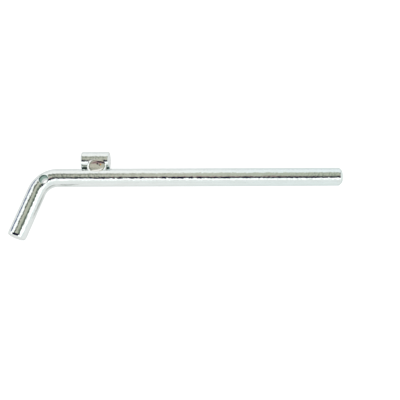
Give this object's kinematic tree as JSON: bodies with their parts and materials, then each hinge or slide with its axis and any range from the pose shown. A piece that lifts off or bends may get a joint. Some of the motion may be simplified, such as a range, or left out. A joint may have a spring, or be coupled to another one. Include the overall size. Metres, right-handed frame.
{
  "type": "bent-bar locking pin",
  "caption": "Bright-plated round bar locking pin with a bent handle, a lanyard hole through the bend and a welded round lug that stops it against the face it passes through.",
  "frame": {"origin": "on the shank's axis, in the plane of the stop lug's front face, which is the shoulder that limits how far the pin goes in", "axes": "+X along the shank towards the tip, +Y from the shank towards the stop lug (the handle leg bends towards -Y), +Z square to the bend along the lanyard hole, on the side of the large weld bead; the pin lies flat on its -Z side"},
  "size_m": [0.1714, 0.0476, 0.0096],
  "materials": {
    "bright_bar": "bright plating over drawn steel bar, mirror-like with faint draw lines",
    "plated_weld": "the same plating over rippled weld metal, slightly duller, with one pit"
  },
  "bodies": {
    "root": {"bent_rod": "bright_bar", "stop_lug": "bright_bar", "weld_bead_front": "plated_weld", "weld_bead_rear": "plated_weld"}
  },
  "joints": []
}
